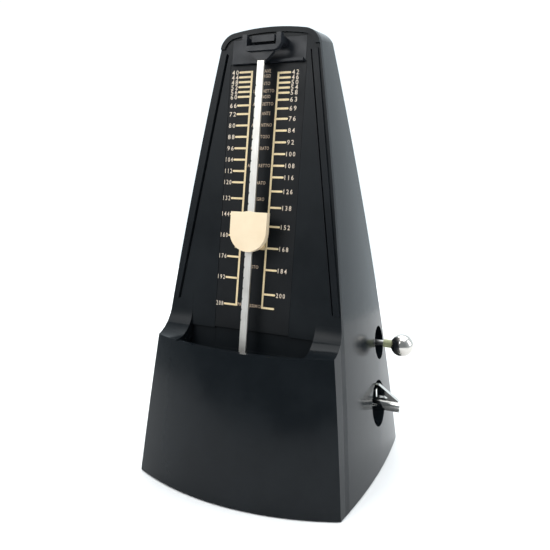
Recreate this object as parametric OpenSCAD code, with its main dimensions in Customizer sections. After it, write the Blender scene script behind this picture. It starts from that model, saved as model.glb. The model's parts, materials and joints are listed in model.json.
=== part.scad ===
// Wind-up pyramid metronome, front cover taken off.
// Frame: X to the right, Y to the rear, Z up. Origin on the resting plane, at the centre
// of the box around everything. Modules are drawn about the middle of the case, and
// centred() then moves them left by half of what the selector knob stands out.

/* [Case] */

// overall height of the case
height = 220; // [190:1:250]
// overall width of the case at the base
base_width = 115.2; // [100:0.2:130]
// overall depth of the case at the base
base_depth = 106.3; // [92:0.1:120]
// wall thickness of the moulded case
wall = 2.5; // [1.8:0.1:3.5]
// height of the ledge under the scale
ledge_height = 72; // [60:0.5:84]
// radius of the cove where the ledge meets the face
cove_radius = 14; // [8:0.5:18]
// radius of the rounded shoulders at the top
shoulder_radius = 9; // [6:0.5:12]
// depth of the ledge between the bowed front and the face, at the base
setback = 18.6; // [14:0.1:22]
// half width of the open basin behind the front lip
basin_half = 33.5; // [26:0.5:38]

/* [Scale and catch] */

// width of the scale plate
scale_width = 40; // [34:0.2:41]
// height where the scale plate ends and the header begins
scale_top = 203.4; // [190:0.2:206]
// width of the loop of the rod catch
catch_width = 20; // [16:0.2:24]

/* [Pendulum] */

// height of the pendulum pivot
pivot_height = 46; // [42:0.5:50]
// distance of the rod in front of the face
rod_gap = 7; // [6.5:0.1:9]
// width of the pendulum rod
rod_width = 3.6; // [3:0.1:4.5]
// thickness of the pendulum rod
rod_thick = 1; // [0.8:0.1:1.4]
// length of the rod above the pivot
rod_reach = 159.7; // [150:0.1:160]
// diameter of the counterweight
weight_dia = 28; // [22:0.5:30]
// width of the sliding bob
bob_width = 19; // [15:0.2:22]
// height of the sliding bob
bob_height = 18.6; // [15:0.2:22]
// distance from the pivot to the top edge of the bob
bob_top = 89.4; // [80:0.2:120]

/* [Movement] */

// inner distance between the two movement plates
plate_gap = 30; // [28:0.5:34]
// thickness of the movement plates
plate_thick = 2; // [1.5:0.1:2.5]
// height of the winding arbor
key_height = 34; // [32:0.5:36]
// distance of the winding arbor behind the centre
key_back = 18.7; // [17:0.1:20]
// height of the beat selector shaft
knob_height = 63; // [60:0.5:66]
// distance of the beat selector shaft behind the centre
knob_back = 30.4; // [29:0.1:32]
// diameter of the ball on the beat selector
knob_dia = 11.8; // [10:0.1:14]
// module of the great wheel teeth
great_module = 0.6; // [0.55:0.01:0.62]
// diameter of the bell
bell_dia = 34; // [28:1:36]
// radial clearance of running fits
run_clear = 0.05; // [0.02:0.01:0.1]

/* [Hidden] */

broad = 240;
fine = 96;
small = 32;

// bottom rim of the case stands this far above the resting plane, on the feet
rim = 0.6;

// sloping sides: half width falls with height and both walls bow outward a little
side_mid = height / 2;
side_slope = 0.1512;
side_angle = atan(side_slope);
side_bow = 2680;
side_plan = 391;
side_centre = 5.5;
// half width at mid height: the wall comes in this far over the lower half
side_fall = 14.29 * height / 220;
side_x = base_width / 2 - side_fall;

// front: part of a large leaning cylinder
front_radius = 133.6;
front_slope = 0.1705 * 220 / height;
front_angle = atan(front_slope);
front_y = -base_depth / 2;

// back: flat and leaning
back_slope = 0.172 * 220 / height;
back_angle = atan(back_slope);
back_y = base_depth / 2;

// face: flat and leaning, set back behind the front
face_slope = 0.1572 * 220 / height;
face_angle = atan(face_slope);
face_y = front_y + setback;

// top outline
top_radius = 110;
// distance from the middle to the centre of each shoulder
shoulder_out = 17.2;
half_width_top = side_x - side_slope * (height - 6 - side_mid) - pow(height - 6 - side_mid, 2) / (2 * side_bow);
shoulder_slope = side_slope + (height - 6 - side_mid) / side_bow;
shoulder_angle = atan(shoulder_slope);

// movement layout, seen from the right: [Y, Z]
plate_in = plate_gap / 2;
plate_out = plate_in + plate_thick;
great_teeth = 60;
pinion_teeth = 10;
cam_teeth = 27;
second_teeth = 50;
second_module = great_module * 5 / 6;
great_r = great_teeth * great_module / 2;
pinion_r = pinion_teeth * great_module / 2;
cam_r = cam_teeth * great_module / 2;
second_r = second_teeth * second_module / 2;
escape_pinion_r = pinion_teeth * second_module / 2;

barrel_at = [key_back, key_height];
second_angle = 188;
second_at = barrel_at + (great_r + pinion_r) * [cos(second_angle), sin(second_angle)];
escape_angle = 217;
escape_at = second_at + (second_r + escape_pinion_r) * [cos(escape_angle), sin(escape_angle)];
cam_angle = 100.5;
cam_at = barrel_at + (great_r + cam_r) * [cos(cam_angle), sin(cam_angle)];
select_at = [knob_back, knob_height];
bell_at = [8, 28];
escape_r = 9;
ratchet_teeth = 24;
ratchet_r = 9.4;
click_at = [key_back - 6.5, key_height + 13];
spring_at = [key_back - 16, key_height + 3];
detent_at = [knob_back - 9, knob_height + 3];
hammer_x = -25;
// middle of the ball knob, and the shift that centres the overall box
knob_at = 61.5;
recentre = (base_width / 2 - knob_at - knob_dia / 2) / 2;

// tooth phases: each gear shows a gap where its driver shows a tooth
great_phase = second_angle;
second_pinion_phase = second_angle + 180 + 180 / pinion_teeth;
second_phase = escape_angle;
escape_pinion_phase = escape_angle + 180 + 180 / pinion_teeth;
cam_lead = (cam_angle - second_angle) + 360;
cam_part = cam_lead - floor(cam_lead / (360 / great_teeth)) * (360 / great_teeth);
cam_phase = cam_angle + 180 + cam_part * great_teeth / cam_teeth + 180 / cam_teeth;

// pendulum frame: local Z runs up the rod, local Y runs to the rear along the arbor
trough_floor = 53.6;
pivot_y = face_y - rod_gap / cos(face_angle) + face_slope * pivot_height;
base_top = 5;

screw_at = [[-44, -30], [44, -30], [-46, 36], [46, 36]];
foot_at = [[-34, -37], [34, -37], [-34, 41], [34, 41]];
pillar_at = [[-25, 12], [30, 12], [32.5, 52], [2, 58]];
angle_hole_y = [-18, 24];

module centred() {
    translate([recentre, 0, 0])
        children();
}

/* ---------- case ---------- */

// right-hand side wall as a solid of revolution, bowed in plan and in elevation
module side_solid(inset) {
    translate([side_x, side_centre, side_mid])
        rotate([0, -side_angle, 0])
            translate([-side_plan, 0, 0])
                rotate_extrude($fn = broad)
                    polygon(concat(
                        [[0, -1.5 * side_mid]],
                        [for (i = [-9:9]) [side_plan - inset - pow(i * side_mid / 6, 2) / (2 * side_bow), i * side_mid / 6]],
                        [[0, 1.5 * side_mid]]
                    ));
}

// outline of the top seen from the front
module top_outline(inset) {
    r = shoulder_radius - inset;
    reach = top_radius - shoulder_radius;
    zc = height - top_radius + sqrt(reach * reach - shoulder_out * shoulder_out);
    xc = half_width_top - shoulder_slope * (zc - height + 6) - shoulder_radius / cos(shoulder_angle);
    tip = [xc, zc] + r * [xc, zc - height + top_radius] / norm([xc, zc - height + top_radius]);
    flank = [xc, zc] + r * [cos(shoulder_angle), sin(shoulder_angle)];
    difference() {
        intersection() {
            translate([0, height - top_radius])
                circle(r = top_radius - inset, $fn = broad);
            translate([-100, height - 60])
                square([200, 80]);
        }
        for (s = [-1, 1])
            mirror([s < 0 ? 1 : 0, 0])
                difference() {
                    polygon([[xc, zc], tip, [tip[0] + 1, height + 5], [60, height + 5], [60, flank[1]], flank]);
                    translate([xc, zc])
                        circle(r = r, $fn = fine);
                }
    }
    translate([-100, -10])
        square([200, height - 50]);
}

// the full bowed pyramid, shrunk by the given inset on every side but the bottom
module pyramid(inset, bottom) {
    intersection() {
        side_solid(inset);
        mirror([1, 0, 0])
            side_solid(inset);
        translate([0, front_y, 0])
            rotate([-front_angle, 0, 0])
                translate([0, front_radius, -40])
                    cylinder(r = front_radius - inset, h = height + 80, $fn = broad);
        translate([0, back_y, 0])
            rotate([back_angle, 0, 0])
                translate([-100, -200 - inset, -40])
                    cube([200, 200, height + 80]);
        translate([0, 100, 0])
            rotate([90, 0, 0])
                linear_extrude(height = 200)
                    top_outline(inset);
        translate([-100, -100, bottom])
            cube([200, 200, height]);
    }
}

// side view of everything in front of the face, above the ledge, cove left standing
module cove_outline() {
    zc = ledge_height + cove_radius;
    yc = face_y + face_slope * zc - cove_radius / cos(face_angle);
    foot = [face_y + face_slope * ledge_height, ledge_height];
    touch = [yc + cove_radius * cos(face_angle), zc - cove_radius * sin(face_angle)];
    difference() {
        polygon([[-100, ledge_height], foot, [face_y + face_slope * (height + 20), height + 20], [-100, height + 20]]);
        difference() {
            polygon([[yc, zc], [yc, ledge_height - 1], foot + [0.2, -1], touch + [0.2, 0], touch]);
            translate([yc, zc])
                circle(r = cove_radius, $fn = fine);
        }
    }
}

// extrudes a side view (Y, Z) along X between the two given stations
module along_x(x0, x1) {
    translate([x0, 0, 0])
        rotate([90, 0, 90])
            linear_extrude(height = x1 - x0)
                children();
}

// space in front of a plane parallel to the face, the given distance behind it
module before_face(depth, z0, z1, half) {
    shift = depth / cos(face_angle);
    along_x(-half, half)
        polygon([
            [-100, z0],
            [face_y + shift + face_slope * z0, z0],
            [face_y + shift + face_slope * z1, z1],
            [-100, z1]
        ]);
}

// places children in the plane of the face: local Z up the face, local -Y outward
module on_face(z) {
    translate([0, face_y + face_slope * z, z])
        rotate([-face_angle, 0, 0])
            children();
}

module side_bore(at, dia, x0, x1) {
    translate([x0, at[0], at[1]])
        rotate([0, 90, 0])
            cylinder(d = dia, h = x1 - x0, $fn = fine);
}

module case_shell() {
    color([0.08, 0.09, 0.1])
        difference() {
            union() {
                difference() {
                    pyramid(0, rim);
                    along_x(-100, 100)
                        cove_outline();
                    // hollow of the lower body
                    intersection() {
                        pyramid(wall, rim - 1);
                        translate([-100, -100, -10])
                            cube([200, 200, ledge_height - wall + 10]);
                    }
                    // hollow of the upper body behind the face
                    difference() {
                        pyramid(wall, rim - 1);
                        before_face(wall, ledge_height - wall - 20, height + 10, 100);
                    }
                    // open basin between the two coves
                    intersection() {
                        pyramid(wall, rim - 1);
                        translate([-basin_half, -100, ledge_height - wall - 1])
                            cube([2 * basin_half, 200, height]);
                        before_face(wall + 1, ledge_height - wall - 2, ledge_height + 4.5, basin_half);
                    }
                    before_face(0.05, ledge_height - 0.5, ledge_height + cove_radius + 6, basin_half);
                }
                // raised ribs along the sides of the face and raised rim over its top
                intersection() {
                    pyramid(0, rim);
                    difference() {
                        before_face(1, ledge_height + cove_radius + 3, height + 5, 100);
                        before_face(-0.8, ledge_height - 5, height + 10, 100);
                    }
                    union() {
                        for (s = [-1, 1])
                            rib_bar(s, 4.2, 1.3);
                        difference() {
                            translate([-50, -50, height - 8.8])
                                cube([100, 100, 20]);
                            translate([0, 100, 0])
                                rotate([90, 0, 0])
                                    linear_extrude(height = 200)
                                        top_outline(2.4);
                        }
                    }
                }
                // trough under the basin: back wall, ends and a floor with a slot for the rod
                intersection() {
                    pyramid(wall / 2, rim);
                    difference() {
                        union() {
                            along_x(-basin_half - 2, basin_half + 2)
                                polygon([
                                    [face_y + face_slope * trough_floor + 1.2, trough_floor],
                                    [face_y + face_slope * trough_floor + 3.2, trough_floor],
                                    [face_y + face_slope * 80 + 3.2, 80],
                                    [face_y + face_slope * 80 + 1.2, 80]
                                ]);
                            for (s = [-1, 1])
                                translate([s * (basin_half + 1) - 1, -60, trough_floor])
                                    cube([2, 60 + face_y + face_slope * trough_floor + 2, ledge_height - 1 - trough_floor]);
                            translate([-basin_half - 2, -60, trough_floor])
                                cube([2 * basin_half + 4, 60 + face_y + face_slope * trough_floor + 2, 1.6]);
                        }
                        translate([-9, -39.5, trough_floor - 1])
                            cube([18, 11, 4]);
                    }
                }
                // cups around the key and the selector
                intersection() {
                    pyramid(0, rim);
                    union() {
                        side_bore(barrel_at, 27.8, 45.6, 70);
                        side_bore(select_at, 20.6, 41.6, 70);
                    }
                }
                // screw bosses
                intersection() {
                    pyramid(wall / 2, rim);
                    for (p = screw_at)
                        translate([p[0], p[1], base_top]) {
                            cylinder(d = 8, h = 16, $fn = small);
                            translate([p[0] > 0 ? 0 : -20, -1.2, 0])
                                cube([20, 2.4, 15]);
                        }
                }
            }
            side_bore(barrel_at, 23.8, 47.6, 80);
            side_bore(barrel_at, 9, 40, 80);
            side_bore(select_at, 17.4, 43.6, 80);
            side_bore(select_at, 5, 40, 80);
            for (p = screw_at)
                translate([p[0], p[1], base_top - 1])
                    cylinder(d = 2.5, h = 13, $fn = small);
            // pocket for the scale plate
            on_face(ledge_height + 5)
                translate([-scale_width / 2 - 0.1, -5, -10])
                    cube([scale_width + 0.2, 6.3, (scale_top - ledge_height - 5) / cos(face_angle) + 10]);
            // pocket for the header plate
            on_face(scale_top)
                translate([-19.5, -5, -0.5])
                    cube([39, 6, 12.3]);
            // grooves beside the two raised ribs
            for (s = [-1, 1])
                intersection() {
                    before_face(1, ledge_height + cove_radius + 3, height - 11.5, 100);
                    rib_bar(s, 5.1, 4.4);
                }
            // sockets for the catch
            catch_pegs(0.1);
        }
}

// leaning bar that follows the side edge, between two distances from it
module rib_bar(s, from_edge, to_edge) {
    z0 = ledge_height + 10;
    z1 = height - 11;
    w0 = side_x - side_slope * (z0 - side_mid) - pow(z0 - side_mid, 2) / (2 * side_bow);
    w1 = side_x - side_slope * (z1 - side_mid) - pow(z1 - side_mid, 2) / (2 * side_bow);
    rotate([90, 0, 0])
        linear_extrude(height = 80, center = true)
            polygon([
                [s * (w0 - from_edge), z0],
                [s * (w0 - to_edge), z0],
                [s * (w1 - to_edge), z1],
                [s * (w1 - from_edge), z1]
            ]);
}

module base_plate() {
    color([0.1, 0.1, 0.11])
        difference() {
            intersection() {
                pyramid(wall + 0.15, rim);
                translate([-100, -100, 2.4])
                    cube([200, 200, base_top - 2.4]);
            }
            for (p = screw_at)
                translate([p[0], p[1], 0])
                    cylinder(d = 3.2, h = 10, $fn = small);
            for (p = screw_at)
                translate([p[0], p[1], 2])
                    cylinder(d = 6, h = 1.4, $fn = small);
            for (y = angle_hole_y)
                for (s = [-1, 1])
                    translate([s * (plate_in - 5), y, 0])
                        cylinder(d = 2.6, h = 10, $fn = small);
            for (p = foot_at)
                translate([p[0], p[1], 0])
                    cylinder(d = 5, h = 4, $fn = small);
        }
}

module base_screws() {
    color([0.6, 0.6, 0.62])
        for (p = screw_at)
            translate([p[0], p[1], 0]) {
                difference() {
                    translate([0, 0, 1.8])
                        cylinder(d = 5.4, h = 1.6, $fn = small);
                    translate([-3, -0.4, 1])
                        cube([6, 0.8, 1.4]);
                }
                translate([0, 0, 3.2])
                    cylinder(d = 2.5, h = 12, $fn = small);
            }
}

module rubber_feet() {
    color([0.05, 0.05, 0.05])
        for (p = foot_at)
            translate([p[0], p[1], 0]) {
                cylinder(d = 11, h = 2.4, $fn = small);
                translate([0, 0, 2])
                    cylinder(d = 5, h = 2, $fn = small);
            }
}

module scale_plate() {
    length = (scale_top - ledge_height - 5) / cos(face_angle) - 0.2;
    color([0.09, 0.09, 0.1])
        on_face(ledge_height + 5)
            translate([-scale_width / 2, 0.1, 0])
                cube([scale_width, 1.2, length]);
}

/* ---------- rod catch ---------- */

module catch_pegs(extra) {
    on_face(scale_top + 4.6)
        for (s = [-1, 1])
            translate([s * 6, 4, 3.2])
                rotate([90, 0, 0])
                    cylinder(d = 2.4 + 2 * extra, h = 8, $fn = small);
}

module rod_catch() {
    half = catch_width / 2;
    reach = rod_gap + 1.2;
    color([0.12, 0.13, 0.14]) {
        // header plate let into the face, with a lip along its lower edge
        on_face(scale_top) {
            translate([-19.4, 0, 0.1])
                cube([38.8, 0.95, 11.6]);
            translate([-18.6, -1.6, 0])
                cube([37.2, 2, 1.3]);
        }
        on_face(scale_top + 4.6) {
            // arms reaching forward to the loop
            for (s = [-1, 1])
                translate([s * (half - 1.2) - 1.2, -reach + 0.6, 2.4])
                    cube([2.4, reach - 0.3, 3.4]);
            // block behind the opening of the loop
            translate([-5.8, -reach + 1.6, 3.4])
                cube([11.6, reach - 1.3, 3]);
            // upright loop in front of the header
            translate([0, -reach + 2.4, 0])
                rotate([90, 0, 0])
                    linear_extrude(height = 2.4)
                        loop_outline(half);
            // wedge that guides the tip of the rod
            translate([0, -5, 0])
                rotate([90, 0, 0])
                    linear_extrude(height = rod_gap - 5)
                        polygon([[-6, 0.5], [-6, -1.6], [-2.6, -5], [2.6, -5], [6, -1.6], [6, 0.5]]);
        }
        intersection() {
            catch_pegs(0);
            before_face(wall, scale_top, height, 50);
        }
    }
}

// front view of the loop: rounded lower corners, open at the top
module loop_outline(half) {
    corner = 3.6;
    difference() {
        union() {
            translate([-half, corner - 1])
                square([2 * half, 6.7 - corner + 1]);
            translate([-half + corner, -1])
                square([2 * half - 2 * corner, 7.7]);
            for (s = [-1, 1])
                translate([s * (half - corner), corner - 1])
                    circle(r = corner, $fn = small);
        }
        translate([-half + 2.4, 1.4])
            square([2 * half - 4.8, 6]);
    }
}

/* ---------- movement frame ---------- */

module plate_outline() {
    polygon([[-29, base_top], [-29, 51], [-20, 52], [0, 66], [8, 69], [36, 69], [36, base_top]]);
}

module movement_plate(x0) {
    difference() {
        along_x(x0, x0 + plate_thick)
            plate_outline();
        for (p = pillar_at)
            side_bore(p, 2.6, x0 - 1, x0 + plate_thick + 1);
        side_bore(barrel_at, 5 + 2 * run_clear, x0 - 1, x0 + plate_thick + 1);
        side_bore(second_at, 1.2 + 2 * run_clear, x0 - 1, x0 + plate_thick + 1);
        side_bore(escape_at, 1.2 + 2 * run_clear, x0 - 1, x0 + plate_thick + 1);
        side_bore(cam_at, 3 + 2 * run_clear, x0 - 1, x0 + plate_thick + 1);
        side_bore(select_at, 3 + 2 * run_clear, x0 - 1, x0 + plate_thick + 1);
        for (y = angle_hole_y)
            side_bore([y, base_top + 4], 2, x0 - 1, x0 + plate_thick + 1);
    }
}

module plate_left() {
    color([0.8, 0.66, 0.35])
        difference() {
            movement_plate(-plate_out);
            side_bore(bell_at, 3, -30, 0);
            bridge_tabs(0.02);
            cock_foot(0.02);
        }
}

module plate_right() {
    color([0.8, 0.66, 0.35])
        difference() {
            movement_plate(plate_in);
            side_bore(click_at, 2, 0, 30);
            side_bore(spring_at, 1.6, 0, 30);
            side_bore(detent_at, 2, 0, 30);
            bridge_tabs(0.02);
        }
}

module pillars() {
    color([0.78, 0.64, 0.34])
        for (p = pillar_at) {
            side_bore(p, 4.6, -plate_in, plate_in);
            side_bore(p, 2.5, -plate_out - 2.6, plate_out + 2.6);
        }
}

module pillar_nuts() {
    color([0.7, 0.7, 0.72])
        for (p = pillar_at)
            for (s = [-1, 1])
                translate([s > 0 ? plate_out : -plate_out - 2, p[0], p[1]])
                    rotate([0, 90, 0])
                        difference() {
                            cylinder(d = 5.2, h = 2, $fn = 6);
                            translate([0, 0, -1])
                                cylinder(d = 2.5, h = 4, $fn = small);
                        }
}

module mount_angles() {
    color([0.65, 0.66, 0.68])
        difference() {
            for (s = [-1, 1])
                scale([s, 1, 1])
                    union() {
                        translate([plate_in - 1.2, -26, base_top])
                            cube([1.2, 58, 7]);
                        translate([plate_in - 8, -26, base_top])
                            cube([8, 58, 1.2]);
                    }
            for (y = angle_hole_y)
                for (s = [-1, 1])
                    translate([s * (plate_in - 5), y, 0])
                        cylinder(d = 2.5, h = 10, $fn = small);
            for (y = angle_hole_y)
                side_bore([y, base_top + 4], 2, -30, 30);
            // room for the lower pillars
            for (p = [pillar_at[0], pillar_at[1]])
                side_bore(p, 5.4, -30, 30);
        }
}

module mount_screws() {
    color([0.6, 0.6, 0.62])
        for (y = angle_hole_y)
            for (s = [-1, 1])
                translate([s * (plate_in - 5), y, 0]) {
                    translate([0, 0, 1.2])
                        cylinder(d = 4.6, h = 1.2, $fn = small);
                    translate([0, 0, 2])
                        cylinder(d = 2.5, h = 5, $fn = small);
                }
}

module angle_rivets() {
    color([0.78, 0.64, 0.34])
        for (y = angle_hole_y)
            for (s = [-1, 1])
                scale([s, 1, 1])
                    side_bore([y, base_top + 4], 2, plate_in - 2, plate_out + 0.6);
}

/* ---------- gears ---------- */

module gear_outline(teeth, mod, phase) {
    r = teeth * mod / 2;
    polygon([
        for (i = [0:teeth - 1])
            for (k = [[-0.24, -1], [-0.1, 0.8], [0.1, 0.8], [0.24, -1]])
                (r + k[1] * mod) * [cos(phase + (i + k[0]) * 360 / teeth), sin(phase + (i + k[0]) * 360 / teeth)]
    ]);
}

// gear lying across X at a [Y, Z] place
module gear(at, x0, x1, teeth, mod, phase, bore) {
    difference() {
        along_x(x0, x1)
            translate(at)
                gear_outline(teeth, mod, phase);
        side_bore(at, bore, x0 - 1, x1 + 1);
    }
}

// round windows that lighten a wheel
module windows(at, x0, x1, count, at_r, dia) {
    for (i = [0:count - 1])
        side_bore(at + at_r * [cos(i * 360 / count), sin(i * 360 / count)], dia, x0 - 1, x1 + 1);
}

module great_wheel() {
    color([0.83, 0.68, 0.36])
        gear(barrel_at, -1.6, 0.4, great_teeth, great_module, great_phase, 5 + 2 * run_clear);
}

module barrel_drum() {
    color([0.8, 0.65, 0.34])
        difference() {
            side_bore(barrel_at, 31, -12.6, -1.6);
            side_bore(barrel_at, 29.4, -11.6, 0);
            side_bore(barrel_at, 5 + 2 * run_clear, -14, 0);
        }
}

module mainspring() {
    turns = 6;
    steps = 30;
    r0 = 4.2;
    r1 = 13.9;
    n = turns * steps;
    color([0.35, 0.38, 0.45])
        along_x(-11, -2.2)
            translate(barrel_at)
                polygon(concat(
                    [for (i = [0:n]) (r0 + (r1 - r0) * i / n) * [cos(i * 360 / steps), sin(i * 360 / steps)]],
                    [for (i = [n:-1:0]) (r0 + 0.5 + (r1 - r0) * i / n) * [cos(i * 360 / steps), sin(i * 360 / steps)]]
                ));
}

module winding_arbor() {
    color([0.7, 0.71, 0.73])
        difference() {
            side_bore(barrel_at, 5, -plate_out - 1, 56);
            key_pin_bore(6);
        }
}

// sleeves on the arbor that keep the barrel and the great wheel between the plates
module arbor_spacers() {
    color([0.72, 0.73, 0.75])
        difference() {
            union() {
                side_bore(barrel_at, 7, 0.7, plate_in - 0.3);
                side_bore(barrel_at, 6.6, -plate_in + 0.4, -12.9);
            }
            side_bore(barrel_at, 5, -30, 30);
        }
}

module winding_key() {
    color([0.85, 0.85, 0.86])
        difference() {
            union() {
                side_bore(barrel_at, 6.2, 49.6, 65);
                // triangular grip above the barrel of the key
                translate([0, barrel_at[0], barrel_at[1]])
                    rotate([12, 0, 0])
                        translate([0, 0.9, 0])
                            rotate([90, 0, 0])
                                linear_extrude(height = 1.8)
                                    difference() {
                                        polygon([[50.4, 0], [50.4, 9.4], [51.6, 11.5], [54, 11.5], [64, 3.4], [64, 0]]);
                                        polygon([[52.4, 4.2], [52.4, 8.6], [53, 9.4], [58.8, 4.2]]);
                                    }
            }
            side_bore(barrel_at, 5, 40, 56);
            key_pin_bore(6);
        }
}

// cross pin through the key and its arbor
module key_pin_bore(reach) {
    translate([52.6, barrel_at[0] + reach, barrel_at[1]])
        rotate([90, 0, 0])
            cylinder(d = 1.2, h = 2 * reach, $fn = small);
}

module key_pin() {
    color([0.6, 0.6, 0.62])
        key_pin_bore(3.3);
}

/* ---------- ratchet and click ---------- */

module ratchet_wheel() {
    color([0.7, 0.71, 0.73])
        difference() {
            along_x(plate_out + 0.4, plate_out + 2)
                translate(barrel_at)
                    polygon([
                        for (i = [0:ratchet_teeth - 1])
                            for (k = [[0, ratchet_r], [0.12, ratchet_r - 1.3], [0.9, ratchet_r - 0.15]])
                                k[1] * [cos((i + k[0]) * 360 / ratchet_teeth), sin((i + k[0]) * 360 / ratchet_teeth)]
                    ]);
            side_bore(barrel_at, 5, 0, 30);
        }
}

module click() {
    color([0.55, 0.56, 0.6])
        difference() {
            along_x(plate_out + 0.4, plate_out + 2)
                translate(click_at)
                    union() {
                        circle(d = 4.6, $fn = small);
                        polygon([[-2.3, 0], [-1.4, -3.6], [1.6, -4.2], [2.3, 0]]);
                    }
            side_bore(click_at, 2 + 2 * run_clear, 10, 30);
        }
}

module click_screw() {
    color([0.6, 0.6, 0.62]) {
        side_bore(click_at, 2, plate_in, plate_out + 2.4);
        side_bore(click_at, 4, plate_out + 2.2, plate_out + 3.4);
    }
}

module click_spring() {
    color([0.5, 0.52, 0.58]) {
        side_bore(spring_at, 1.6, plate_in, plate_out + 1);
        difference() {
            side_bore(spring_at, 3.2, plate_out, plate_out + 1.6);
            side_bore(spring_at, 1, plate_out + 1.2, plate_out + 5);
        }
        along_x(plate_out + 0.6, plate_out + 1.4)
            polygon([
                spring_at + [0.2, 1],
                spring_at + [0.8, 0.6],
                click_at + [-2.9, -1],
                click_at + [-2.9, 1.6],
                click_at + [-3.3, 1.6],
                click_at + [-3.4, -1]
            ]);
    }
}

/* ---------- going train ---------- */

module second_arbor() {
    color([0.7, 0.71, 0.73]) {
        along_x(-4, 3)
            translate(second_at)
                gear_outline(pinion_teeth, great_module, second_pinion_phase);
        side_bore(second_at, 2.4, -13.6, 13.6);
        side_bore(second_at, 1.2, -plate_out, plate_out);
    }
}

module second_wheel() {
    color([0.83, 0.68, 0.36])
        difference() {
            gear(second_at, 7, 8.2, second_teeth, second_module, second_phase, 2.4);
            windows(second_at, 7, 8.2, 5, 7.4, 5);
        }
}

module escape_arbor() {
    color([0.7, 0.71, 0.73]) {
        along_x(6.2, 9.6)
            translate(escape_at)
                gear_outline(pinion_teeth, second_module, escape_pinion_phase);
        side_bore(escape_at, 2, -13.6, 13.6);
        side_bore(escape_at, 1.2, -plate_out, plate_out);
    }
}

module escape_wheels() {
    color([0.83, 0.68, 0.36])
        for (s = [0, 1])
            difference() {
                along_x(s == 0 ? -5.6 : 4.8, s == 0 ? -4.8 : 5.6)
                    translate(escape_at)
                        polygon([
                            for (i = [0:14])
                                for (k = [[0, escape_r], [0.1, escape_r - 2.4], [0.8, escape_r - 2.2]])
                                    k[1] * [cos((i + k[0] + s / 2) * 24), sin((i + k[0] + s / 2) * 24)]
                        ]);
                side_bore(escape_at, 2, -10, 10);
                windows(escape_at, -8, 8, 4, 3.8, 2.6);
            }
}

module cam_arbor() {
    color([0.7, 0.71, 0.73]) {
        side_bore(cam_at, 3, -33, plate_out);
        side_bore(cam_at, 4.6, 0.6, plate_in - 0.3);
        side_bore(cam_at, 4.6, -plate_in + 0.3, -1.8);
    }
}

module cam_wheel() {
    color([0.83, 0.68, 0.36])
        gear(cam_at, -1.6, 0.4, cam_teeth, great_module, cam_phase, 3);
}

// one cam: a round disc with the given number of lobes
module cam_outline(lobes) {
    circle(r = 5.6, $fn = small);
    for (i = [0:lobes - 1])
        rotate(i * 360 / lobes)
            polygon([[0, -1.2], [7.4, -0.8], [7.6, 0], [7.4, 0.8], [0, 1.2]]);
}

module cam_drum() {
    lobes = [2, 3, 4, 6];
    color([0.88, 0.88, 0.84])
        difference() {
            union() {
                for (i = [0:3])
                    along_x(-21 - 2.5 * i, -19.2 - 2.5 * i)
                        translate(cam_at)
                            cam_outline(lobes[i]);
                side_bore(cam_at, 8, -31, -18.6);
            }
            side_bore(cam_at, 3, -40, 0);
        }
}

/* ---------- pendulum ---------- */

// places children in the frame of the pendulum
module pendulum_frame() {
    translate([0, pivot_y, pivot_height])
        rotate([-face_angle, 0, 0])
            children();
}

// cylinder along local Y of the pendulum frame
module arbor_bit(dia, y0, y1) {
    translate([0, y1, 0])
        rotate([90, 0, 0])
            cylinder(d = dia, h = y1 - y0, $fn = small);
}

module bridge_tabs(extra) {
    pendulum_frame()
        translate([-plate_out - 5, 7 - extra, -3 - extra])
            cube([2 * plate_out + 10, 1.8 + 2 * extra, 6 + 2 * extra]);
}

module front_bridge() {
    color([0.8, 0.66, 0.35])
        pendulum_frame()
            difference() {
                union() {
                    translate([-plate_in, 7, -5])
                        cube([2 * plate_in, 1.8, 10]);
                    translate([-plate_out - 0.8, 7, -3])
                        cube([2 * plate_out + 1.6, 1.8, 6]);
                }
                arbor_bit(2 + 2 * run_clear, 0, 20);
            }
}

module cock_foot(extra) {
    pendulum_frame()
        translate([-plate_out - 5, 26.4 - extra, -3 - extra])
            cube([5.5 + plate_thick, 1.8 + 2 * extra, 6 + 2 * extra]);
}

module rear_cock() {
    color([0.8, 0.66, 0.35])
        pendulum_frame()
            difference() {
                union() {
                    translate([-plate_in, 26.4, -4])
                        cube([plate_in + 3.6, 1.8, 8]);
                    translate([-plate_out - 0.8, 26.4, -3])
                        cube([plate_thick + 2, 1.8, 6]);
                    // tongue screwed flat against the plate
                    translate([-plate_in, 26.4, -4])
                        cube([1.2, 8, 8]);
                }
                arbor_bit(2 + 2 * run_clear, 20, 40);
                translate([-plate_in - 1, 31.6, 0])
                    rotate([0, 90, 0])
                        cylinder(d = 2, h = 4, $fn = small);
            }
}

module cock_screws() {
    color([0.6, 0.6, 0.62])
        pendulum_frame() {
            translate([-plate_in, 31.6, 0])
                rotate([0, 90, 0])
                    cylinder(d = 2, h = 1.6, $fn = small);
            translate([-plate_in + 1.2, 31.6, 0])
                rotate([0, 90, 0])
                    cylinder(d = 3.6, h = 1, $fn = small);
        }
}

module pendulum_arbor() {
    color([0.7, 0.71, 0.73])
        pendulum_frame() {
            arbor_bit(2, -2, 28.6);
            arbor_bit(3.2, 9.1, 26.1);
        }
}

module pendulum_hub() {
    color([0.83, 0.68, 0.36])
        pendulum_frame()
            difference() {
                union() {
                    arbor_bit(8, rod_thick / 2, 3.2);
                    arbor_bit(5, 3, 6.6);
                }
                arbor_bit(2, -5, 10);
                for (s = [-1, 1])
                    translate([0, 6, s * 2.6])
                        rotate([90, 0, 0])
                            cylinder(d = 1.2, h = 8, $fn = small);
            }
}

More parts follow.
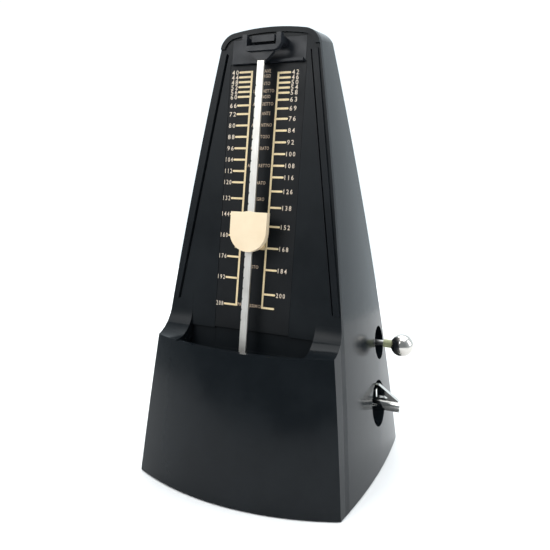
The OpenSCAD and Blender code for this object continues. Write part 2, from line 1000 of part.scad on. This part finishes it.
module pallet_arm() {
    y0 = rod_gap + 12.4;
    color([0.55, 0.56, 0.6])
        pendulum_frame()
            difference() {
                union() {
                    arbor_bit(6, y0, y0 + 2.6);
                    translate([-0.6, y0, -9.8])
                        cube([1.2, 2.6, 8.6]);
                }
                arbor_bit(3.2, y0 - 1, y0 + 4);
            }
}

module pendulum_rod() {
    color([0.8, 0.79, 0.74])
        pendulum_frame()
            difference() {
                translate([-rod_width / 2, -rod_thick / 2, -weight_dia - 4])
                    cube([rod_width, rod_thick, rod_reach + weight_dia + 4]);
                arbor_bit(2, -5, 10);
                for (z = [-2.6, 2.6, -weight_dia / 2 - 12, -weight_dia / 2])
                    translate([0, 5, z])
                        rotate([90, 0, 0])
                            cylinder(d = 1.2, h = 10, $fn = small);
                // shallow notches that hold the bob, down the left edge of the rod
                for (i = [0:22])
                    translate([-rod_width / 2 - 0.1, -2, 38 + 5 * i])
                        cube([0.35, 4, 0.8]);
            }
}

module rod_rivets() {
    color([0.7, 0.7, 0.72])
        pendulum_frame() {
            for (z = [-2.6, 2.6])
                translate([0, 3.2, z])
                    rotate([90, 0, 0])
                        cylinder(d = 1.2, h = 3.2 + rod_thick / 2 + 0.5, $fn = small);
            for (z = [-weight_dia / 2 - 12, -weight_dia / 2])
                translate([0, 5, z])
                    rotate([90, 0, 0])
                        cylinder(d = 1.2, h = 5 + rod_thick / 2 + 0.5, $fn = small);
        }
}

module counterweight() {
    color([0.78, 0.63, 0.33])
        pendulum_frame()
            difference() {
                translate([0, 5.6, -weight_dia / 2 - 6])
                    rotate([90, 0, 0])
                        cylinder(d = weight_dia, h = 9.6, $fn = fine);
                translate([-rod_width / 2, -10, -60])
                    cube([rod_width, 10 + rod_thick / 2, 60]);
                for (z = [-weight_dia / 2 - 12, -weight_dia / 2])
                    translate([0, 5, z])
                        rotate([90, 0, 0])
                            cylinder(d = 1.2, h = 10, $fn = small);
            }
}

/* ---------- sliding bob ---------- */

module bob_outline() {
    r = bob_width / 2;
    translate([0, r])
        circle(r = r, $fn = fine);
    translate([-r, r])
        square([2 * r, bob_height - r]);
}

module bob_frame() {
    pendulum_frame()
        translate([0, 0, bob_top - bob_height])
            children();
}

module bob_shield() {
    gap = rod_thick / 2 + run_clear;
    color([0.85, 0.76, 0.6])
        bob_frame()
            difference() {
                translate([0, 0.6, 0])
                    rotate([90, 0, 0])
                        linear_extrude(height = 3.2)
                            bob_outline();
                // channel for the rod
                translate([-rod_width / 2 - run_clear, -gap, -1])
                    cube([rod_width + 2 * run_clear, 5, bob_height + 2]);
                // pocket for the spring
                translate([-rod_width / 2 - 2.2, -0.9, 5])
                    cube([2.4, 2, 9]);
                for (s = [-1, 1])
                    translate([s * 6.2, 2, 9])
                        rotate([90, 0, 0])
                            cylinder(d = 1.4, h = 3, $fn = small);
            }
}

module bob_clip() {
    color([0.72, 0.66, 0.52])
        bob_frame() {
            translate([-8, 0.6, 1.4])
                cube([16, 0.8, 15]);
            for (s = [-1, 1])
                translate([s * 6.2, 1.9, 9])
                    rotate([90, 0, 0])
                        cylinder(d = 1.4, h = 2.9, $fn = small);
        }
}

module bob_spring() {
    color([0.6, 0.62, 0.66])
        bob_frame()
            translate([-rod_width / 2 - 2, -0.7, 5.2])
                cube([0.5, 1.2, 8.6]);
}

/* ---------- beat selector and bell ---------- */

module selector_shaft() {
    color([0.7, 0.71, 0.73])
        difference() {
            union() {
                side_bore(select_at, 3, -32, 58);
                side_bore(select_at, 4.4, -27, -25.2);
                side_bore(select_at, 4.4, -22.8, -21.6);
            }
            // detent grooves
            for (i = [0:4])
                difference() {
                    side_bore(select_at, 4, 21.6 - 4 + 2.5 * i, 22.4 - 4 + 2.5 * i);
                    side_bore(select_at, 2.4, 10, 40);
                }
        }
}

module selector_knob() {
    color([0.82, 0.81, 0.79])
        difference() {
            translate([knob_at, select_at[0], select_at[1]])
                rotate([0, 90, 0])
                    rotate_extrude($fn = fine)
                        intersection() {
                            circle(d = knob_dia, $fn = fine);
                            translate([0, -5.2])
                                square([20, 30]);
                        }
            side_bore(select_at, 3, 50, 58);
        }
}

module selector_collar() {
    color([0.66, 0.7, 0.5])
        difference() {
            side_bore(select_at, 4.4, 51.9, 56.3);
            side_bore(select_at, 3, 40, 60);
        }
}

module detent_spring() {
    color([0.5, 0.52, 0.58])
        difference() {
            union() {
                along_x(plate_out, plate_out + 0.6)
                    polygon([
                        detent_at + [-2.4, -2.4],
                        detent_at + [2.6, -2.4],
                        detent_at + [2.6, 2.4],
                        detent_at + [-2.4, 2.4]
                    ]);
                translate([plate_out, detent_at[0] + 2, detent_at[1] + 0.2])
                    cube([5.2, 0.6, 2]);
                translate([plate_out + 4.6, detent_at[0] + 2, detent_at[1] + 0.2])
                    cube([0.6, 9, 0.6]);
            }
            side_bore(detent_at, 2, 10, 30);
        }
}

module detent_screw() {
    color([0.6, 0.6, 0.62]) {
        side_bore(detent_at, 2, plate_in, plate_out + 1);
        side_bore(detent_at, 3.6, plate_out + 0.6, plate_out + 1.8);
    }
}

module hammer_arm() {
    color([0.6, 0.62, 0.66])
        difference() {
            union() {
                side_bore(select_at, 6.4, hammer_x - 0.1, hammer_x + 2.1);
                along_x(hammer_x, hammer_x + 2)
                    translate(select_at) {
                        // long arm towards the bell
                        polygon([[-2, -2], [-7.4, -17], [-6, -18.2], [2, -2]]);
                        // short finger towards the cams
                        polygon([[-2, 1.8], [-8, 1.2], [-8, 0], [-2, -1.8]]);
                    }
            }
            side_bore(select_at, 3 + 2 * run_clear, -40, 0);
        }
}

module hammer_head() {
    color([0.8, 0.65, 0.34])
        side_bore(select_at + [-7.4, -20.3], 5, hammer_x - 1, hammer_x + 3);
}

module hammer_spring() {
    color([0.5, 0.52, 0.58])
        difference() {
            union() {
                side_bore(select_at, 5, hammer_x - 4.4, hammer_x - 2.4);
                translate([hammer_x - 3.4, select_at[0] + 1.9, select_at[1] - 8])
                    cube([3, 0.6, 6.8]);
            }
            side_bore(select_at, 3, -40, 0);
        }
}

module bell() {
    r = bell_dia / 2;
    color([0.84, 0.7, 0.38])
        difference() {
            union() {
                side_bore(bell_at, bell_dia, -32, -19);
                intersection() {
                    translate([-26, bell_at[0], bell_at[1]])
                        sphere(r = norm([r, 6]), $fn = fine);
                    side_bore(bell_at, bell_dia, -38, -31);
                }
            }
            side_bore(bell_at, bell_dia - 2.4, -33, -10);
            side_bore(bell_at, 3, -60, 0);
        }
}

module bell_stud() {
    color([0.7, 0.71, 0.73]) {
        side_bore(bell_at, 3, -43, -plate_in);
        side_bore(bell_at, 5, -33, -plate_out);
    }
}

module bell_nut() {
    color([0.7, 0.7, 0.72])
        translate([-42, bell_at[0], bell_at[1]])
            rotate([0, 90, 0])
                difference() {
                    cylinder(d = 6, h = 2, $fn = 6);
                    translate([0, 0, -1])
                        cylinder(d = 3, h = 4, $fn = small);
                }
}

centred() case_shell();
centred() base_plate();
centred() base_screws();
centred() rubber_feet();
centred() scale_plate();
centred() rod_catch();
centred() plate_left();
centred() plate_right();
centred() pillars();
centred() pillar_nuts();
centred() mount_angles();
centred() mount_screws();
centred() angle_rivets();
centred() barrel_drum();
centred() great_wheel();
centred() mainspring();
centred() winding_arbor();
centred() arbor_spacers();
centred() winding_key();
centred() key_pin();
centred() ratchet_wheel();
centred() click();
centred() click_screw();
centred() click_spring();
centred() second_arbor();
centred() second_wheel();
centred() escape_arbor();
centred() escape_wheels();
centred() cam_arbor();
centred() cam_wheel();
centred() cam_drum();
centred() front_bridge();
centred() rear_cock();
centred() cock_screws();
centred() pendulum_arbor();
centred() pendulum_hub();
centred() pallet_arm();
centred() pendulum_rod();
centred() rod_rivets();
centred() counterweight();
centred() bob_shield();
centred() bob_clip();
centred() bob_spring();
centred() selector_shaft();
centred() selector_knob();
centred() selector_collar();
centred() detent_spring();
centred() detent_screw();
centred() hammer_arm();
centred() hammer_head();
centred() hammer_spring();
centred() bell();
centred() bell_stud();
centred() bell_nut();
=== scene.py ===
"""Looks for a wind-up pyramid metronome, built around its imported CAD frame. Units are metres."""

import json
import math

import bmesh
import bpy
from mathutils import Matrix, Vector


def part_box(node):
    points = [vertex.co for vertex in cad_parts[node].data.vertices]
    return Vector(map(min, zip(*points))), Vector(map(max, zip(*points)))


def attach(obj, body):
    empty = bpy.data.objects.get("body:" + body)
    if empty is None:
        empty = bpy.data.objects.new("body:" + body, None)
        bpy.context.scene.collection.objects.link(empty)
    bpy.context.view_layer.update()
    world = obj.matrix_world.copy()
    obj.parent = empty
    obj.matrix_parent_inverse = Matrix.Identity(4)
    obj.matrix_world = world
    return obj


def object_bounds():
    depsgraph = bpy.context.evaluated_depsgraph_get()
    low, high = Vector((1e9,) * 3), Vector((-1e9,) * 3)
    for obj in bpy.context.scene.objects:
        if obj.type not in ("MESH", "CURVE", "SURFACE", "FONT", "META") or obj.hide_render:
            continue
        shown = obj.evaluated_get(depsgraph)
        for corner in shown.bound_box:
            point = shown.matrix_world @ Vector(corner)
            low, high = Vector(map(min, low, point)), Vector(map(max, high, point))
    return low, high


MM = 0.001

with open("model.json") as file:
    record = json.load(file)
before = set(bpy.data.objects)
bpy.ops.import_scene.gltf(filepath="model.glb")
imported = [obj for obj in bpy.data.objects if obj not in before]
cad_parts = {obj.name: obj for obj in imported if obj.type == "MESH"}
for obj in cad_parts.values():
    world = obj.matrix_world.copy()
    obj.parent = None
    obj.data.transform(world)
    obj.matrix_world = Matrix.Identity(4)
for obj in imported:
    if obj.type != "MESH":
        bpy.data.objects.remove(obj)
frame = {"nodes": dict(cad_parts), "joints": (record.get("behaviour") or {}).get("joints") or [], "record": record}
cad_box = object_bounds()
joints = {j["name"]: j for j in frame["joints"]}
PIVOT = Vector(joints["pendulum_swing"]["pos_m"])
UP = Vector(joints["bob_slide"]["axis"]).normalized()
INWARD = Vector(joints["pendulum_swing"]["axis"]).normalized()
LEAN = math.atan2(UP.y, UP.z)
scene = bpy.context.scene
scene.view_settings.view_transform = "Standard"


# ---------------------------------------------------------------- materials


class Paint:
    """A node material: one Principled shader, with helpers for the detail that feeds it."""

    def __init__(self, name, colour, roughness, metallic=0.0, coat=0.0, specular=0.5):
        self.name = name
        self.material = bpy.data.materials.new(name)
        self.material.use_nodes = True
        self.nodes = self.material.node_tree.nodes
        self.links = self.material.node_tree.links
        self.shader = self.nodes["Principled BSDF"]
        self.colour = colour
        self.roughness = roughness
        self.shader.inputs["Base Color"].default_value = (*colour, 1)
        self.shader.inputs["Roughness"].default_value = roughness
        self.shader.inputs["Metallic"].default_value = metallic
        self.shader.inputs["Coat Weight"].default_value = coat
        self.shader.inputs["Coat Roughness"].default_value = 0.08
        self.shader.inputs["Specular IOR Level"].default_value = specular
        self.bump = None
        self.place = self.nodes.new("ShaderNodeTexCoord").outputs["Object"]

    def noise(self, scale, stretch=(1, 1, 1), detail=3.0, roughness=0.5, turn=(0, 0, 0)):
        """Noise in object space: scale is features per metre, stretch squeezes it along an axis."""
        mapping = self.nodes.new("ShaderNodeMapping")
        mapping.inputs["Rotation"].default_value = turn
        mapping.inputs["Scale"].default_value = stretch
        texture = self.nodes.new("ShaderNodeTexNoise")
        texture.inputs["Scale"].default_value = scale
        texture.inputs["Detail"].default_value = detail
        texture.inputs["Roughness"].default_value = roughness
        self.links.new(self.place, mapping.inputs["Vector"])
        self.links.new(mapping.outputs["Vector"], texture.inputs["Vector"])
        return texture.outputs["Fac"]

    def spread(self, value, from_low, from_high, low, high, smooth=False):
        """Maps a value from one range to another."""
        node = self.nodes.new("ShaderNodeMapRange")
        if smooth:
            node.interpolation_type = "SMOOTHSTEP"
        node.inputs["From Min"].default_value = from_low
        node.inputs["From Max"].default_value = from_high
        node.inputs["To Min"].default_value = low
        node.inputs["To Max"].default_value = high
        self.links.new(value, node.inputs["Value"])
        return node.outputs["Result"]

    def rough(self, value, low, high):
        """Roughness runs from low to high with the value."""
        self.links.new(self.spread(value, 0.3, 0.7, low, high), self.shader.inputs["Roughness"])
        return self

    def mottle(self, value, other):
        """Colour varies between the base colour and another with the value."""
        mix = self.nodes.new("ShaderNodeMix")
        mix.data_type = "RGBA"
        mix.inputs["A"].default_value = (*self.colour, 1)
        mix.inputs["B"].default_value = (*other, 1)
        self.links.new(self.spread(value, 0.35, 0.68, 0, 1, smooth=True), mix.inputs["Factor"])
        self.links.new(mix.outputs["Result"], self.shader.inputs["Base Color"])
        return self

    def relief(self, value, depth_mm, strength=1.0):
        """Adds relief of that depth, on top of any before it."""
        node = self.nodes.new("ShaderNodeBump")
        node.inputs["Strength"].default_value = strength
        node.inputs["Distance"].default_value = depth_mm * MM
        self.links.new(value, node.inputs["Height"])
        if self.bump:
            self.links.new(self.bump, node.inputs["Normal"])
        self.bump = node.outputs["Normal"]
        self.links.new(self.bump, self.shader.inputs["Normal"])
        return self


def plate_plane():
    """A point on the front of the scale plate, in the middle plane of the rod."""
    low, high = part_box("scale_plate")
    size = high - low
    thick = (size.y * UP.z - size.z * UP.y) / (UP.z**2 - UP.y**2)
    return Vector((PIVOT.x, low.y, low.z + thick * UP.y))


def near_face(p):
    """Is 1 close to the leaning face and 0 on the rest of the case."""
    dot = p.nodes.new("ShaderNodeVectorMath")
    dot.operation = "DOT_PRODUCT"
    p.links.new(p.place, dot.inputs[0])
    dot.inputs[1].default_value = INWARD
    depth = plate_plane().dot(INWARD)
    near, far = 1.8 * MM, 2.6 * MM
    ahead = p.spread(dot.outputs["Value"], depth - far, depth - near, 0, 1, smooth=True)
    behind = p.spread(dot.outputs["Value"], depth + near, depth + far, 1, 0, smooth=True)
    both = p.nodes.new("ShaderNodeMath")
    both.operation = "MULTIPLY"
    p.links.new(ahead, both.inputs[0])
    p.links.new(behind, both.inputs[1])
    return both.outputs["Value"]


def gloss_case():
    """Moulded black plastic: glossy with slight orange peel and finger haze, satin on the face."""
    p = Paint("case_black", (0.0046, 0.0064, 0.0082), 0.16, specular=0.15)
    haze = p.noise(38, detail=4, roughness=0.6)
    grain = p.noise(5200, detail=1)
    peel = p.noise(420, detail=1)
    p.mottle(haze, (0.007, 0.0092, 0.0113))
    outside = p.spread(haze, 0.3, 0.7, 0.12, 0.22)
    face = p.spread(haze, 0.3, 0.7, 0.36, 0.46)
    finish = p.nodes.new("ShaderNodeMix")
    p.links.new(near_face(p), finish.inputs["Factor"])
    p.links.new(outside, finish.inputs["A"])
    p.links.new(face, finish.inputs["B"])
    p.links.new(finish.outputs["Result"], p.shader.inputs["Roughness"])
    p.relief(peel, 0.012, 0.35)
    p.relief(grain, 0.0015, 0.25)
    return p


def satin_plastic(name, colour, other, low, high, specular=0.45):
    """Moulded plastic with a fine spark-eroded texture."""
    p = Paint(name, colour, (low + high) / 2, specular=specular)
    p.mottle(p.noise(60, detail=3), other)
    p.rough(p.noise(150, detail=3), low, high)
    p.relief(p.noise(3800, detail=2, roughness=0.6), 0.006, 0.5)
    return p


def brushed_metal(
    name, colour, other, low, high, stretch, turn=(0, 0, 0), scale=900, depth=0.004, metallic=1.0
):
    """Metal with fine drawn lines along its length and faint tarnish."""
    p = Paint(name, colour, (low + high) / 2, metallic=metallic)
    lines = p.noise(scale, stretch=stretch, detail=4, roughness=0.65, turn=turn)
    p.mottle(p.noise(90, detail=4), other)
    p.rough(lines, low, high)
    p.relief(lines, depth, 0.6)
    return p


def polished_metal(name, colour, other, low, high):
    """Plated and polished metal, with pits and wiping marks."""
    p = Paint(name, colour, (low + high) / 2, metallic=1.0)
    p.mottle(p.noise(220, detail=5, roughness=0.65), other)
    p.rough(p.noise(380, detail=5, roughness=0.6), low, high)
    p.relief(p.noise(700, detail=3), 0.006, 0.35)
    return p


def plastics():
    """The plastic and rubber slots."""
    return (
        gloss_case(),
        satin_plastic(
            "scale_black", (0.0062, 0.0072, 0.0085), (0.0088, 0.01, 0.0115), 0.4, 0.52, 0.16
        ),
        satin_plastic(
            "black_plastic", (0.0115, 0.0135, 0.017), (0.015, 0.0175, 0.0215), 0.3, 0.45, 0.22
        ),
        satin_plastic("rubber", (0.014, 0.014, 0.014), (0.025, 0.025, 0.024), 0.65, 0.85),
        satin_plastic("collar_plastic", (0.42, 0.44, 0.25), (0.5, 0.5, 0.32), 0.28, 0.4),
        satin_plastic("white_nylon", (0.72, 0.71, 0.66), (0.64, 0.62, 0.56), 0.35, 0.5),
    )


def metals():
    """The metal slots. The lines of rod and bob lean with them."""
    lean = (-LEAN, 0, 0)
    along_rod = (1, 1, 0.03)
    across_bob = (0.06, 1, 1)
    return (
        brushed_metal(
            "rod_steel", (0.66, 0.645, 0.61), (0.58, 0.565, 0.53), 0.4, 0.55, along_rod, lean
        ),
        brushed_metal(
            "bob_gold", (0.96, 0.79, 0.56), (0.92, 0.74, 0.51), 0.36, 0.46, across_bob, lean,
            scale=1400, depth=0.002, metallic=0.25,
        ),
        brushed_metal(
            "bob_back", (0.6, 0.5, 0.33), (0.5, 0.41, 0.26), 0.32, 0.48, (0.08, 1, 1)
        ),
        brushed_metal("brass", (0.74, 0.55, 0.24), (0.62, 0.43, 0.17), 0.22, 0.38, (1, 0.3, 0.3)),
        brushed_metal("steel", (0.56, 0.56, 0.55), (0.47, 0.46, 0.45), 0.24, 0.4, (0.2, 1, 1)),
        polished_metal("spring_steel", (0.36, 0.39, 0.44), (0.28, 0.29, 0.35), 0.24, 0.4),
        polished_metal("chrome", (0.8, 0.79, 0.77), (0.7, 0.69, 0.66), 0.07, 0.17),
        polished_metal("nickel", (0.6, 0.575, 0.545), (0.52, 0.495, 0.46), 0.12, 0.22),
    )


def all_paints():
    """The finish of every material slot of the record, by the name of the slot."""
    return {p.name: p.material for p in plastics() + metals()}


PAINTS = all_paints()
SLOT_OF = {
    s["node"]: s["material_slot"] for s in frame["record"]["subparts"] if s.get("material_slot")
}

# rounding of the outer edges, in millimetres, for the nodes that are seen
ROUNDING = {
    "case_shell": 0.45,
    "rod_catch": 0.35,
    "scale_plate": 0.12,
    "bob_shield": 0.45,
    "bob_clip": 0.12,
    "pendulum_rod": 0.14,
    "winding_key": 0.3,
    "rubber_feet": 0.4,
    "base_plate": 0.3,
}


def finish_node(name, node):
    """Gives a CAD node its material and, where it is seen, rounded edges."""
    paint = PAINTS[SLOT_OF[name]]
    for slot in node.material_slots:
        slot.material = paint
    if not node.material_slots:
        node.data.materials.append(paint)
    weld = node.modifiers.new("weld", "WELD")
    weld.merge_threshold = 2e-6
    if name in ROUNDING:
        bevel = node.modifiers.new("bevel", "BEVEL")
        bevel.width = ROUNDING[name] * MM
        bevel.segments = 2
        bevel.limit_method = "ANGLE"
        bevel.angle_limit = math.radians(32)
        bevel.harden_normals = False
        bevel.use_clamp_overlap = True
    normals = node.modifiers.new("normals", "WEIGHTED_NORMAL")
    normals.keep_sharp = True


for node_name, cad_node in frame["nodes"].items():
    finish_node(node_name, cad_node)


# ---------------------------------------------------------------- printed scale


def plate_frame():
    """Maps x from the rod, distance up the plate from pivot height, and lift to a point."""
    corner = plate_plane()
    start = (PIVOT.z - corner.z) / UP.z

    def put(x, along, lift):
        return corner + Vector((x, 0, 0)) + UP * (start + along) - INWARD * lift

    return put


ON_PLATE = plate_frame()
INK = 0.05 * MM

SLOWEST = 40
FASTEST = 208
# height of a mark above the pivot in millimetres, at the tempi where the spacing changes
SPACING = ((SLOWEST, 155.7), (60, 144.0), (120, 102.9), (192, 56.4), (FASTEST, 43.3))
LEFT_TEMPI = (
    *range(SLOWEST, 60, 4), *range(60, 72, 6), *range(72, 120, 8), *range(120, 144, 12),
    *range(144, FASTEST + 1, 16),
)
RIGHT_TEMPI = (
    42, 46, 50, 54, 58, 63, 69, 76, *range(84, 116, 8), 116, 126, 138, *range(152, FASTEST, 16),
)
TEMPO_WORDS = (
    ("GRAVE", 40),
    ("LARGO", 44),
    ("LENTO", 50),
    ("LARGHETTO", 56),
    ("ADAGIO", 60.5),
    ("ADAGIETTO", 65.5),
    ("ANDANTE", 72),
    ("ANDANTINO", 80),
    ("MAESTOSO", 88),
    ("MODERATO", 96),
    ("ALLEGRETTO", 108),
    ("ANIMATO", 120),
    ("ALLEGRO", 132),
    ("VIVACE", 156),
    ("PRESTO", 182.5),
    ("PRESTISSIMO", 207.5),
)


def tempo_at(tempo):
    """Distance of a tempo's mark from the pivot."""
    for (slow, high), (fast, low) in zip(SPACING, SPACING[1:]):
        if tempo <= fast:
            break
    return (high + (low - high) * (tempo - slow) / (fast - slow)) * MM


def line_x(side, along):
    """The two long lines lean a little to the left towards the bottom."""
    top, bottom = tempo_at(SLOWEST), tempo_at(FASTEST)
    share = (top - along) / (top - bottom)
    return ((-8.15 if side < 0 else 5.95) - 0.6 * share) * MM


def add_bar(bm, x0, a0, x1, a1, width, round_end=False):
    """A flat printed stroke from one point of the plate to another."""
    start, end = Vector((x0, a0)), Vector((x1, a1))
    along = (end - start).normalized()
    across = Vector((-along.y, along.x)) * width / 2
    outline = [start - across]
    if round_end:
        middle = end - along * width / 2
        for i in range(7):
            turn = math.radians(-90 + 30 * i)
            outline.append(middle + along * math.cos(turn) * width / 2 + across * math.sin(turn))
    else:
        outline += [end - across, end + across]
    outline.append(start + across)
    add_print(bm, outline)


def add_print(bm, outline):
    """Raises a closed outline off the plate by the thickness of the ink."""
    bottom = [bm.verts.new(ON_PLATE(p.x, p.y, -INK / 2)) for p in outline]
    top = [bm.verts.new(ON_PLATE(p.x, p.y, INK)) for p in outline]
    bm.faces.new(top)
    bm.faces.new(bottom[::-1])
    count = len(outline)
    for i in range(count):
        j = (i + 1) % count
        bm.faces.new((bottom[i], bottom[j], top[j], top[i]))


def lettering(bm, text, x, along, height, width=None, align="CENTER", swell=0.0, spacing=1.12):
    """Adds raised lettering, centred on a height of the plate and squeezed to a width if given."""
    curve = bpy.data.curves.new("lettering", "FONT")
    curve.body = text
    curve.size = 1.0
    curve.extrude = 0.5
    curve.offset = swell
    curve.space_character = spacing
    curve.resolution_u = 2
    holder = bpy.data.objects.new("lettering", curve)
    scene.collection.objects.link(holder)
    bpy.context.view_layer.update()
    ready = holder.evaluated_get(bpy.context.evaluated_depsgraph_get())
    mesh = bpy.data.meshes.new_from_object(ready)
    bpy.data.objects.remove(holder)
    bpy.data.curves.remove(curve)
    xs = [v.co.x for v in mesh.vertices]
    ys = [v.co.y for v in mesh.vertices]
    tall = max(ys) - min(ys)
    wide = max(xs) - min(xs)
    scale_y = height / tall
    scale_x = width / wide if width else scale_y
    shift = {"CENTER": (max(xs) + min(xs)) / 2, "LEFT": min(xs), "RIGHT": max(xs)}[align]
    middle = (max(ys) + min(ys)) / 2
    for v in mesh.vertices:
        lift = INK if v.co.z > 0 else -INK / 2
        v.co = ON_PLATE(x + (v.co.x - shift) * scale_x, along + (v.co.y - middle) * scale_y, lift)
    bm.from_mesh(mesh)
    bpy.data.meshes.remove(mesh)


def ink(name, colour, other):
    """Printed ink, a little worn and uneven."""
    p = Paint(name, colour, 0.5)
    p.mottle(p.noise(1500, detail=3, roughness=0.6), other)
    p.rough(p.noise(900, detail=2), 0.42, 0.6)
    p.relief(p.noise(2500, detail=2), 0.004, 0.5)
    return p.material


def printed_piece(name, bm, material):
    """Turns the collected print into one piece that rides on the case."""
    bmesh.ops.remove_doubles(bm, verts=bm.verts, dist=1e-7)
    bmesh.ops.recalc_face_normals(bm, faces=bm.faces)
    mesh = bpy.data.meshes.new(name)
    bm.to_mesh(mesh)
    bm.free()
    mesh.materials.append(material)
    piece = bpy.data.objects.new(name, mesh)
    scene.collection.objects.link(piece)
    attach(piece, "case")
    return piece


def print_marks():
    """Long lines and tempo marks."""
    bm = bmesh.new()
    width = 0.95 * MM
    for side, tempi in ((-1, LEFT_TEMPI), (1, RIGHT_TEMPI + (FASTEST,))):
        top = tempo_at(tempi[0]) + width / 2
        bottom = tempo_at(FASTEST) - width / 2
        add_bar(bm, line_x(side, top), top, line_x(side, bottom), bottom, width)
        for tempo in tempi:
            along = tempo_at(tempo)
            reach = 7.0 if side < 0 else 6.5
            x = line_x(side, along)
            add_bar(bm, x, along, x + side * reach * MM, along, width, round_end=True)
    return printed_piece("scale_marks", bm, ink("mark_ink", (0.86, 0.7, 0.42), (0.78, 0.6, 0.34)))


def print_numbers():
    """Tempo numbers outside the marks."""
    bm = bmesh.new()
    for side, tempi in ((-1, LEFT_TEMPI), (1, RIGHT_TEMPI)):
        for tempo in tempi:
            along = tempo_at(tempo)
            digits = len(str(tempo))
            edge = line_x(side, along) + (-7.35 if side < 0 else 7.0) * MM
            width = (3.5 if digits == 2 else 3.9 if side < 0 else 4.6) * MM
            align = "RIGHT" if side < 0 else "LEFT"
            lettering(bm, str(tempo), edge, along, 2.2 * MM, width, align, 0.006, 1.42)
    paint = ink("number_ink", (0.82, 0.7, 0.56), (0.68, 0.56, 0.44))
    return printed_piece("scale_numbers", bm, paint)


def print_words():
    """Tempo words between the two lines, behind the rod."""
    bm = bmesh.new()
    for word, tempo in TEMPO_WORDS:
        along = tempo_at(tempo)
        left, right = line_x(-1, along), line_x(1, along)
        room = right - left - 1.5 * MM
        width = min(room, 1.2 * MM * len(word))
        lettering(bm, word, (left + right) / 2, along, 1.6 * MM, width, "CENTER", 0.01)
    return printed_piece("scale_words", bm, ink("word_ink", (0.55, 0.42, 0.3), (0.4, 0.29, 0.2)))


print_marks()
print_numbers()
print_words()


# ---------------------------------------------------------------- floor, light and camera


FLOOR_HALF = 0.4
FLOOR_BACK = 0.06


def stage_floor():
    """A plain pale floor, with a faint mottle."""
    bm = bmesh.new()
    bmesh.ops.create_grid(bm, x_segments=8, y_segments=8, size=FLOOR_HALF)
    mesh = bpy.data.meshes.new("floor")
    bm.to_mesh(mesh)
    bm.free()
    floor = bpy.data.objects.new("floor", mesh)
    floor.location = (0, FLOOR_BACK, 0)
    scene.collection.objects.link(floor)
    p = Paint("floor_paint", (0.86, 0.86, 0.86), 0.6)
    p.mottle(p.noise(3, detail=3), (0.84, 0.84, 0.84))
    mesh.materials.append(p.material)


def surround():
    """White studio behind and above the object, dim in front of it."""
    world = bpy.data.worlds.new("studio")
    world.use_nodes = True
    scene.world = world
    nodes, links = world.node_tree.nodes, world.node_tree.links
    background = nodes["Background"]
    place = nodes.new("ShaderNodeTexCoord").outputs["Generated"]
    split = nodes.new("ShaderNodeSeparateXYZ")
    links.new(place, split.inputs["Vector"])
    ramp = nodes.new("ShaderNodeMapRange")
    ramp.interpolation_type = "SMOOTHSTEP"
    for socket, value in (("From Min", -0.7), ("From Max", 0.5), ("To Min", 0.34), ("To Max", 1.2)):
        ramp.inputs[socket].default_value = value
    links.new(split.outputs["Y"], ramp.inputs["Value"])
    links.new(ramp.outputs["Result"], background.inputs["Strength"])
    background.inputs["Color"].default_value = (0.86, 0.95, 1, 1)


def softbox(name, place, target, size, power):
    """An area lamp that faces a point."""
    lamp = bpy.data.lights.new(name, "AREA")
    lamp.shape = "RECTANGLE"
    lamp.size, lamp.size_y = size
    lamp.energy = power
    holder = bpy.data.objects.new(name, lamp)
    holder.location = place
    holder.rotation_euler = (Vector(target) - Vector(place)).to_track_quat("-Z", "Y").to_euler()
    scene.collection.objects.link(holder)


# viewpoint of the picture: metres from the rod's plane, and degrees
CAMERA_RIGHT = 0.1373
CAMERA_Y = -0.2817
CAMERA_HEIGHT = 0.16305
CAMERA_DOWN = 11.26
CAMERA_TURN = 25.57
CAMERA_LENS = 41.08


def camera():
    """The viewpoint: to the right of the front, a little above."""
    data = bpy.data.cameras.new("camera")
    data.sensor_width = 36
    data.lens = CAMERA_LENS
    data.clip_start = 0.01
    data.clip_end = 50
    holder = bpy.data.objects.new("camera", data)
    holder.location = (PIVOT.x + CAMERA_RIGHT, CAMERA_Y, CAMERA_HEIGHT)
    holder.rotation_euler = (math.radians(90 - CAMERA_DOWN), 0, math.radians(CAMERA_TURN))
    scene.collection.objects.link(holder)
    scene.camera = holder


stage_floor()
surround()
middle = (cad_box[0] + cad_box[1]) / 2
softbox("lamp_top", (0.0, 0.2, 1.3), middle, (1.6, 1.6), 22)
softbox("lamp_front", (-0.62, -1.0, 0.95), middle, (0.7, 0.7), 10)
softbox("lamp_side", (1.2, 0.35, 0.55), middle, (0.5, 0.9), 6)
camera()
